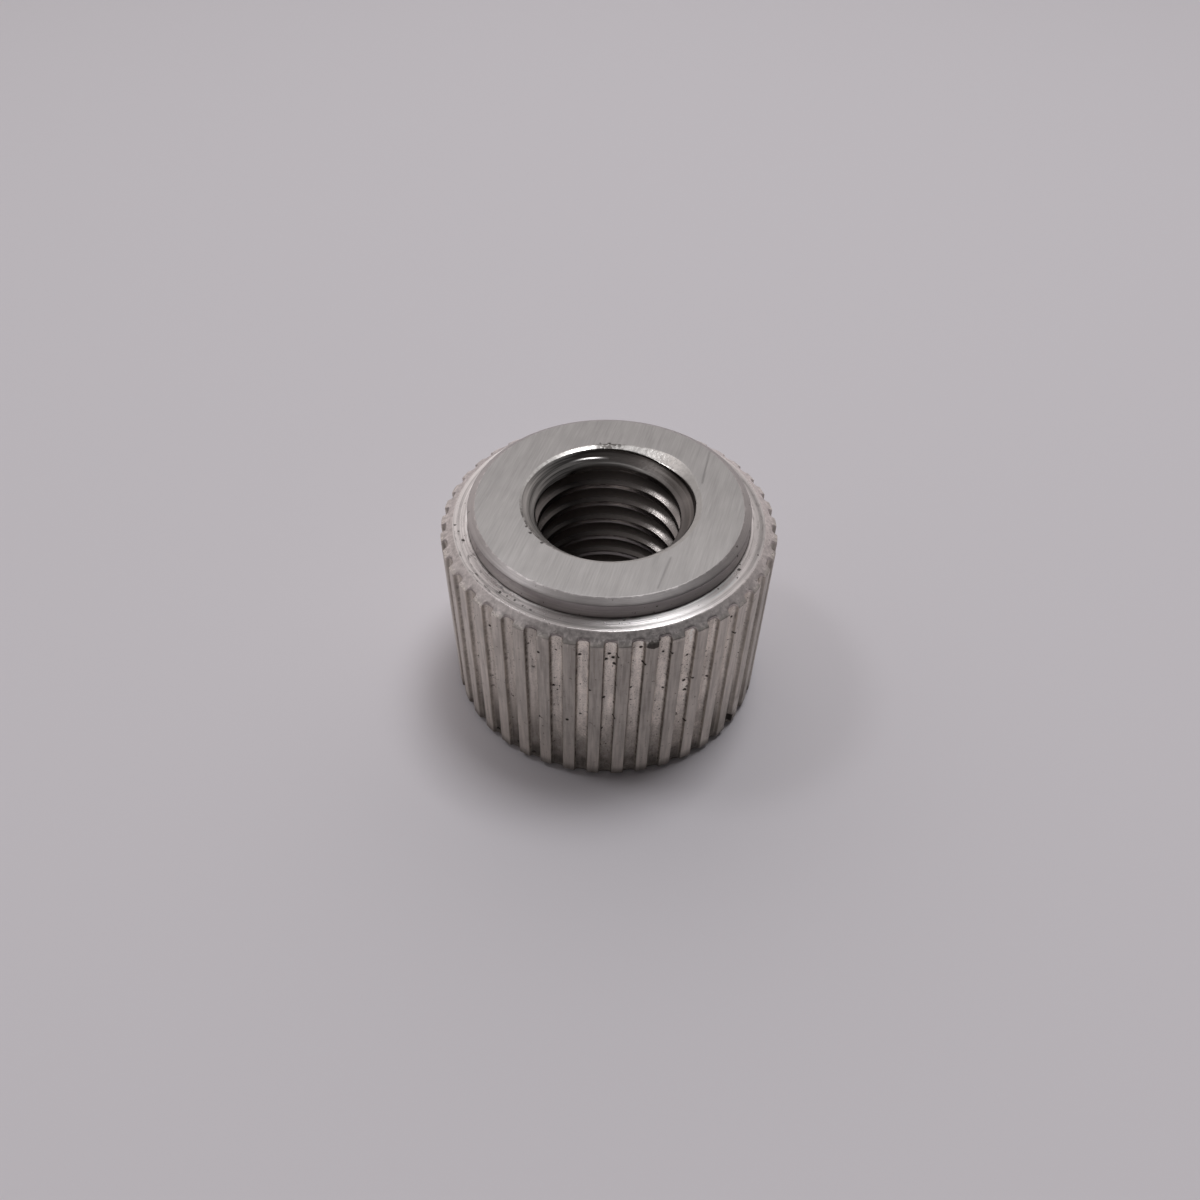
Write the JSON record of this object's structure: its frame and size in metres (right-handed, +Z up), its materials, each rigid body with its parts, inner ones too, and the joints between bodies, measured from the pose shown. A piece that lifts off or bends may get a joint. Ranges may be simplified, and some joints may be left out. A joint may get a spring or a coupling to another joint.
{
  "type": "knurled nut",
  "caption": "Round nut turned from one piece, with a straight-knurled grip, a low chamfered boss and a tapped through hole, tightened by hand.",
  "frame": {"origin": "centre of the bottom face, on the axis of the hole", "axes": "+Z up along the hole to the boss, -Y to the front, where the middle of a flute is"},
  "size_m": [0.024, 0.024, 0.0165],
  "materials": {
    "metal": "satin, sanded on the top face, dulled and pitted on the grip"
  },
  "bodies": {
    "root": {"nut": "metal"}
  },
  "joints": []
}
